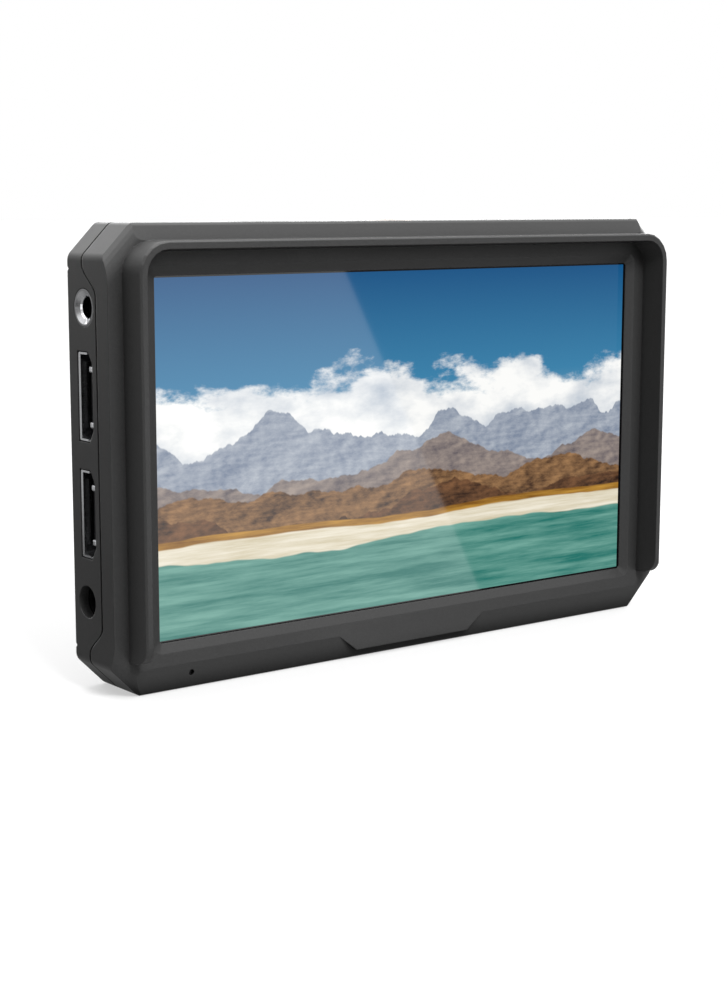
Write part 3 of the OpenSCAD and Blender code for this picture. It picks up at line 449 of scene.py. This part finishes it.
# %% Black round the picture
for position, middle in ((picture_x, MIDDLE_X), (picture_z, MIDDLE_Z)):
    off = add_node(picture, "ShaderNodeMath", {0: position, 1: middle}, operation="SUBTRACT")
    far = add_node(picture, "ShaderNodeMath", {0: off.outputs["Value"]}, operation="ABSOLUTE")
    out = add_node(picture, "ShaderNodeMath", {0: far.outputs["Value"], 1: middle},
                   operation="GREATER_THAN")
    colour = add_node(picture, "ShaderNodeMix", {
        0: out.outputs["Value"], 6: colour, 7: linear("#040405")}, data_type="RGBA").outputs[2]
picture.links.new(colour, film_shader.inputs["Emission Color"])
FINISHES["front_polariser"] = screen_film
print("whole picture:", len(picture.nodes), "nodes")

# %% [markdown]
# ## Dressing the frame
#
# The frame's own meshes keep their shape, and each one only gets its finish. The bright picture is
# hidden from the rays that light and mirror other surfaces, because its blue would tint the inside
# of the hood, which the photograph shows as a neutral black.

# %% Give each node its finish
for name, node in nodes.items():
    node.data.materials.clear()
    node.data.materials.append(FINISHES[name])
nodes["front_polariser"].visible_diffuse = nodes["front_polariser"].visible_glossy = False
print("finished nodes:", len(FINISHES))

# %% [markdown]
# ## Smooth shells
#
# The frame's shells are exact, but their round corners come as narrow flat strips. Each shell is
# copied, its doubled points are merged, and the strips of one curve are shaded as one surface: an
# edge stays sharp when its angle is wide, and the limit is wider for an edge that runs along the
# depth, as the strips of the corners do.

# %% Copies of the frame's meshes
MERGE = 0.002 * MM
FLAT_LIMIT, ROUND_LIMIT = math.radians(9.4), math.radians(20)
ALONG_DEPTH = 0.9


def merged_copy(name):
    """A bmesh of a node's mesh, with its doubled points merged."""
    shape = bmesh.new()
    shape.from_mesh(nodes[name].data)
    bmesh.ops.remove_doubles(shape, verts=shape.verts, dist=MERGE)
    return shape


def shade_round(shape):
    """Smooth shading across the strips of round corners, sharp elsewhere."""
    for face in shape.faces:
        face.smooth = True
    for edge in shape.edges:
        along = (edge.verts[1].co - edge.verts[0].co).normalized()
        limit = ROUND_LIMIT if abs(along.y) > ALONG_DEPTH else FLAT_LIMIT
        edge.smooth = edge.calc_face_angle(math.pi) < limit


def stand_in(shape, name, finish):
    """Turns a bmesh into a piece that stands for a node of the housing."""
    mesh = bpy.data.meshes.new(f"{name}_finished")
    shape.to_mesh(mesh)
    shape.free()
    mesh.materials.append(finish)
    piece = bpy.data.objects.new(f"{name}_finished", mesh)
    bpy.context.scene.collection.objects.link(piece)
    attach(piece, "housing")
    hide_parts(name)
    print(piece.name, len(mesh.polygons), "faces")
    return piece


# %% [markdown]
# The two shells meet along a fine shadow line. The rear shell's outer edge there is drawn back by
# 0.15 mm, which deepens that shadow. Its points are found as the faces that look forward within a
# narrow ring along the shells' outline, whose corners are cut off.

# %% Smooth shells and their seam
SEAM_RING, SEAM_DRAWN, SEAM_REAR = 1.2 * MM, 0.15 * MM, 3 * MM
CORNER_CUT = 6.1 * MM
FACES_FORWARD = -0.4

low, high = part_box("rear_housing")
middle = (low + high) / 2
half = (high - low) / 2


def on_outer_wall(place):
    """Whether a point is within the seam ring's width of the shells' outline."""
    across, up = abs(place.x - middle.x), abs(place.z - middle.z)
    return (across > half.x - SEAM_RING or up > half.z - SEAM_RING
            or across + up > half.x + half.z - CORNER_CUT - SEAM_RING * math.sqrt(2))


for name in ("front_housing", "rear_housing"):
    shell = merged_copy(name)
    shade_round(shell)
    if name == "rear_housing":
        seam = {vert for face in shell.faces for vert in face.verts
                if face.normal.y < FACES_FORWARD
                and face.calc_center_median().y < SEAM_REAR
                and all(on_outer_wall(v.co) for v in face.verts)}
        print("seam points", len(seam), "of", len(shell.verts))
        bmesh.ops.translate(shell, verts=list(seam), vec=(0, SEAM_DRAWN, 0))
    piece = stand_in(shell, name, moulded["housing"])
    piece.modifiers.new("even_shading", "WEIGHTED_NORMAL").keep_sharp = True

# %% [markdown]
# ## Video sockets
#
# Each socket's shell is folded from tin-plated steel and sits a little behind the plastic, so only
# its rear lip shows from the front, as one bright line, with two spring tabs across from it. Its
# outline is drawn as one face, whose corners are rounded before it is extruded along the socket.

# %% Sizes of a video socket
STEEL, FOLD, FOLD_SEGMENTS = 0.35 * MM, 0.35 * MM, 3
SOCKET_DEPTH, CUT_HEIGHT, CUT_DEPTH = 4.6 * MM, 2.1 * MM, 1.4 * MM
FRONT_SET_BACK, REAR_LIP, LIP_BAND = 0.5 * MM, 0.3 * MM, 0.2 * STEEL
TAB_SIZE, TAB_ROUND = (2 * MM, 1.2 * MM, 1.1 * MM), 0.3 * MM
TAB_HEIGHT, TAB_SET = 4.7 * MM, 0.15 * MM
FOOT_SIZE, FOOT_ROUND = (2 * MM, 0.5 * MM, 1.2 * MM), 0.1 * MM
FOOT_HEIGHT, FOOT_SET, FOOT_SUNK = 4.9 * MM, 2 * MM, 0.1 * MM


def add_leaf(shape, size, centre, rounding):
    """A small block of folded sheet, whose edges are rounded."""
    leaf = bmesh.ops.create_cube(shape, size=1, matrix=Matrix.LocRotScale(centre, None, size))
    edges = list({edge for vert in leaf["verts"] for edge in vert.link_edges})
    bmesh.ops.bevel(shape, geom=edges, offset=rounding, offset_type="OFFSET", segments=2,
                    profile=0.5, affect="EDGES", material=-1)


# %% Video sockets
def folded_tube(low, high, front):
    """Tube of sheet steel with a closed end, open towards the side of the monitor."""
    tube = bmesh.new()
    outline = [(high.y, low.z), (high.y, high.z), (front + CUT_DEPTH, high.z),
               (front, high.z - CUT_HEIGHT), (front, low.z + CUT_HEIGHT),
               (front + CUT_DEPTH, low.z)]
    tube.faces.new([tube.verts.new((low.x, y, z)) for y, z in outline])
    bmesh.ops.bevel(tube, geom=tube.verts[:], offset=FOLD, offset_type="OFFSET",
                    segments=FOLD_SEGMENTS, profile=0.5, affect="VERTICES", material=-1)
    drawn = bmesh.ops.extrude_face_region(tube, geom=tube.faces[:])["geom"]
    bmesh.ops.translate(tube, vec=(high.x - low.x, 0, 0),
                        verts=[part for part in drawn if isinstance(part, bmesh.types.BMVert)])
    cover = [face for face in tube.faces if all(v.co.x == low.x for v in face.verts)]
    bmesh.ops.delete(tube, geom=cover, context="FACES_ONLY")
    bmesh.ops.recalc_face_normals(tube, faces=tube.faces)
    bmesh.ops.solidify(tube, geom=tube.faces[:], thickness=STEEL)
    return tube


def video_shell(name):
    """Folded tube with a turned rear lip, two spring tabs and two feet."""
    low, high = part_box(name)
    middle_z, front = (low.z + high.z) / 2, high.y - SOCKET_DEPTH
    shell = folded_tube(low, high, front)
    rim = [v for v in shell.verts if v.co.x < low.x + STEEL / 2]
    lip = [v for v in rim if abs(high.y - STEEL - v.co.y) < LIP_BAND
           and abs(v.co.z - middle_z) < (high.z - low.z) / 2 - STEEL / 2]
    print(name, "rim", len(rim), "points, lip", len(lip))
    bmesh.ops.translate(shell, vec=(0, -REAR_LIP, 0), verts=lip)
    bmesh.ops.translate(shell, vec=(FRONT_SET_BACK, 0, 0),
                        verts=[v for v in rim if v.co.y < front + CUT_DEPTH + STEEL])
    for side in (-1, 1):
        add_leaf(shell, TAB_SIZE, Vector((low.x + TAB_SIZE[0] / 2 + TAB_SET,
                                          front + STEEL + TAB_SIZE[1] / 2,
                                          middle_z + side * TAB_HEIGHT)), TAB_ROUND)
        add_leaf(shell, FOOT_SIZE, Vector((high.x - FOOT_SET,
                                           front - FOOT_SIZE[1] / 2 + FOOT_SUNK,
                                           middle_z + side * FOOT_HEIGHT)), FOOT_ROUND)
    return shell


steel_pieces = []
for way in ("in", "out"):
    name = f"video_{way}_shell"
    steel_pieces.append(stand_in(video_shell(name), name, metals["tinned steel"]))

# %% [markdown]
# ## Threads
#
# A tripod screw has 20 threads an inch, a rise of 1.27 mm a turn. The frame's bush has a plain bore
# as wide as the thread's inner edge, so a copy's bore is widened to the thread's root, and one
# ridge's section is spun round it with a steady rise. That gives a true helix in each brass bush.

# %% Threads in the bushes
PITCH, BORE_R, THREAD_R = 1.27 * MM, 2.55 * MM, 3.175 * MM
STEPS_A_TURN, END_GAP = 32, 0.1
RIDGE = ((THREAD_R, 0.08), (BORE_R, 0.42), (BORE_R, 0.58), (THREAD_R, 0.92))

for end in ("upper", "lower"):
    name = f"{end}_thread_bush"
    low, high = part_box(name)
    turns = int((high.z - low.z) / PITCH - END_GAP)
    bush = merged_copy(name)
    shade_round(bush)
    bore = [v for v in bush.verts if math.hypot(v.co.x, v.co.y) < (BORE_R + THREAD_R) / 2]
    bmesh.ops.scale(bush, verts=bore, vec=(THREAD_R / BORE_R, THREAD_R / BORE_R, 1))
    section = [bush.verts.new((radius, 0, low.z + PITCH * rise)) for radius, rise in RIDGE]
    edges = [bush.edges.new(pair) for pair in zip(section, section[1:])]
    plain = set(bush.faces)
    bmesh.ops.spin(bush, geom=section + edges, cent=(0, 0, 0), axis=(0, 0, 1),
                   dvec=(0, 0, PITCH / STEPS_A_TURN), angle=turns * math.tau,
                   steps=turns * STEPS_A_TURN)
    thread = [face for face in bush.faces if face not in plain]
    bmesh.ops.recalc_face_normals(bush, faces=thread)
    print(name, len(bore), "bore points,", turns, "turns")
    stand_in(bush, name, metals["turned brass"])

# %% [markdown]
# ## Catch spring
#
# The battery catch presses on a short coil spring. The frame holds it at its free length, and a
# smooth-shaded copy takes its place at that length.

# %% Catch spring
low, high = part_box("catch_spring")
coil = merged_copy("catch_spring")
for face in coil.faces:
    face.smooth = True
spring = stand_in(coil, "catch_spring", metals["spring wire"])
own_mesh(spring)

# %% [markdown]
# ## Studio
#
# The floor is a wide sheet of pale paper. It glows a little by itself, as paper that is lit from
# all round does, so that the monitor's shadow on it stays as soft and light as in the photograph.

# %% Floor
FLOOR_HALF = 6.0
PAPER, PAPER_GLOW = "#8a8a8a", 0.5

floor_mesh = bpy.data.meshes.new("studio_floor")
sheet = bmesh.new()
bmesh.ops.create_grid(sheet, x_segments=1, y_segments=1, size=FLOOR_HALF)
bmesh.ops.translate(sheet, verts=sheet.verts, vec=(0, 0, cad_bounds[0][2]))
sheet.to_mesh(floor_mesh)
sheet.free()
floor = bpy.data.objects.new("studio_floor", floor_mesh)
bpy.context.scene.collection.objects.link(floor)
floor.visible_glossy = False
paper = start_material("pale_paper", Base_Color=linear(PAPER), Roughness=0.9,
                       Emission_Color=(1, 1, 1, 1), Emission_Strength=PAPER_GLOW)[0]
paper.cycles.emission_sampling = "NONE"
floor.data.materials.append(paper)
print("floor at", round(cad_bounds[0][2] / MM, 2), "mm")

# %% [markdown]
# The sky dome does most of the lighting, and its brightness is a small map of direction. In front
# its rim is dim, which keeps deep shade inside the hood. Behind the monitor the rim is brightest,
# because a black top face mirrors it at a low angle. The dome is bright straight overhead, and
# below the horizon it stands for the floor. The camera itself sees the dome as plain white.

# %% Sky dome
RIM_FRONT, RIM_BACK, TOP_FRONT, TOP_BACK, ZENITH = 0.27, 5.0, 1.0, 1.05, 3.0
BELOW, FLOOR_GLOW = 0.12, 0.33

world = bpy.data.worlds.new("studio_dome")
bpy.context.scene.world = world
world.use_nodes = True
dome = world.node_tree
dome.nodes.clear()
direction = add_node(dome, "ShaderNodeTexCoord").outputs["Generated"]
upward = add_node(dome, "ShaderNodeSeparateXYZ", {"Vector": direction}).outputs["Z"]
away = add_node(dome, "ShaderNodeVectorMath", {
    0: direction, 1: -Vector((back.x, back.y, 0)).normalized()}, operation="DOT_PRODUCT"
).outputs["Value"]
step = {}
for name, source, start, stop, first, last in (
        ("rim", away, 0.45, 1.0, RIM_FRONT, RIM_BACK),
        ("top", away, -0.5, 0.9, TOP_FRONT, TOP_BACK),
        ("floor", upward, -0.7, -0.2, FLOOR_GLOW, BELOW),
        ("over horizon", upward, -0.12, 0.0, 0, 1),
        ("over rim", upward, 0.2, 0.6, 0, 1),
        ("overhead", upward, 0.7, 0.9, 0, 1)):
    step[name] = add_node(dome, "ShaderNodeMapRange", {
        "Value": source, "From Min": start, "From Max": stop, "To Min": first, "To Max": last},
        interpolation_type="SMOOTHSTEP").outputs["Result"]
upper = add_node(dome, "ShaderNodeMix", {0: step["over rim"], 2: step["rim"], 3: step["top"]})
capped = add_node(dome, "ShaderNodeMix", {0: step["overhead"], 2: upper.outputs[0], 3: ZENITH})
whole = add_node(dome, "ShaderNodeMix", {
    0: step["over horizon"], 2: step["floor"], 3: capped.outputs[0]})
seen = add_node(dome, "ShaderNodeMix", {
    0: add_node(dome, "ShaderNodeLightPath").outputs["Is Camera Ray"],
    2: whole.outputs[0], 3: 1.0})
glow = add_node(dome, "ShaderNodeBackground", {"Color": (1, 1, 1, 1), "Strength": seen.outputs[0]})
add_node(dome, "ShaderNodeOutputWorld", {"Surface": glow.outputs["Background"]})
print("dome:", len(dome.nodes), "nodes")

# %% [markdown]
# A card to the right lays a slanting gloss over the left of the screen. Its corners are found from
# the image points that it should fill: each one's line of sight is mirrored in the screen, and
# followed to a plane in front of it. Only mirrored rays see the card.

# %% Gloss card
CARD_DISTANCE = 0.6
CARD_RADIANCE = 1.7
CARD_IMAGE_POINTS = ((344, 268), (505, 650), (140, 650), (140, 268))
IMAGE_CENTRE = (363.5, 500)


def mirrored_point(across_px, down_px):
    """Where the sight line of an image point, mirrored in the screen, meets the card's plane."""
    sight = axes.transposed() @ Vector((across_px - IMAGE_CENTRE[0], IMAGE_CENTRE[1] - down_px,
                                        -FOCAL_PX))
    on_card = eye + sight * ((aim.y + CARD_DISTANCE - eye.y) / sight.y)
    return (on_card.x, aim.y - CARD_DISTANCE, on_card.z)


card_mesh = bpy.data.meshes.new("gloss_card")
quad = bmesh.new()
quad.faces.new([quad.verts.new(mirrored_point(*point)) for point in CARD_IMAGE_POINTS])
quad.to_mesh(card_mesh)
quad.free()
card = bpy.data.objects.new("gloss_card", card_mesh)
bpy.context.scene.collection.objects.link(card)
card.visible_camera = card.visible_diffuse = card.visible_shadow = False
lit_card = start_material("lit_card", Base_Color=(0, 0, 0, 1), Specular_IOR_Level=0.0,
                          Emission_Color=(1, 1, 1, 1), Emission_Strength=CARD_RADIANCE)[0]
lit_card.cycles.emission_sampling = "NONE"
card.data.materials.append(lit_card)
print("card corners", [[round(c, 3) for c in v.co] for v in card_mesh.vertices])

# %% [markdown]
# A key light overhead in front brings out the bezel and the lower slopes. Mirrored rays don't see
# it, so it leaves no bright patch on the screen.

# %% Key light
KEY_SIZE, KEY_WATTS, KEY_PLACE = (0.5, 0.4), 24.0, (-0.06, -0.85, 0.85)

key_data = bpy.data.lights.new("key_panel", "AREA")
key_data.shape = "RECTANGLE"
key_data.size, key_data.size_y = KEY_SIZE
key_data.energy = KEY_WATTS
key_panel = bpy.data.objects.new("key_panel", key_data)
key_panel.location = KEY_PLACE
key_panel.visible_glossy = False
key_panel.rotation_euler = (aim - key_panel.location).to_track_quat("-Z", "Y").to_euler()
bpy.context.scene.collection.objects.link(key_panel)
print("key light at", KEY_PLACE)

# %% [markdown]
# Bare metal shows whatever stands around it. A low panel beside the sockets gives their steel
# something white to mirror. The collar has a panel of its own, further forward, so that only the
# rear of its cone is bright and its flat rim stays dark. Light linking keeps both off the plastic.

# %% Panels for the plated parts
PANEL_DISTANCE, PANEL_CENTRE_Z, PANEL_TALL = 0.085, 0.056, 0.11

for name, depth_centre, wide, watts, pieces in (
        ("steel_panel", 0.055, 0.24, 0.035, steel_pieces),
        ("collar_panel", -0.075, 0.13, 0.05, [nodes["headphone_collar"]])):
    panel_data = bpy.data.lights.new(name, "AREA")
    panel_data.shape = "RECTANGLE"
    panel_data.size, panel_data.size_y = wide, PANEL_TALL
    panel_data.energy = watts
    panel = bpy.data.objects.new(name, panel_data)
    panel.location = (cad_bounds[0][0] - PANEL_DISTANCE, depth_centre, PANEL_CENTRE_Z)
    panel.rotation_euler = (math.pi / 2, 0, -math.pi / 2)
    panel.visible_camera = False
    bpy.context.scene.collection.objects.link(panel)
    lit_by_it = bpy.data.collections.new(f"lit_by_{name}")
    for piece in pieces:
        lit_by_it.objects.link(piece)
    panel.light_linking.receiver_collection = lit_by_it
    print(name, [round(c, 3) for c in panel.location], "lights", [p.name for p in pieces])

# %% [markdown]
# ## Finish
#
# The Standard view keeps the colours as they were picked.

# %% Finish
bpy.context.scene.view_settings.view_transform = "Standard"
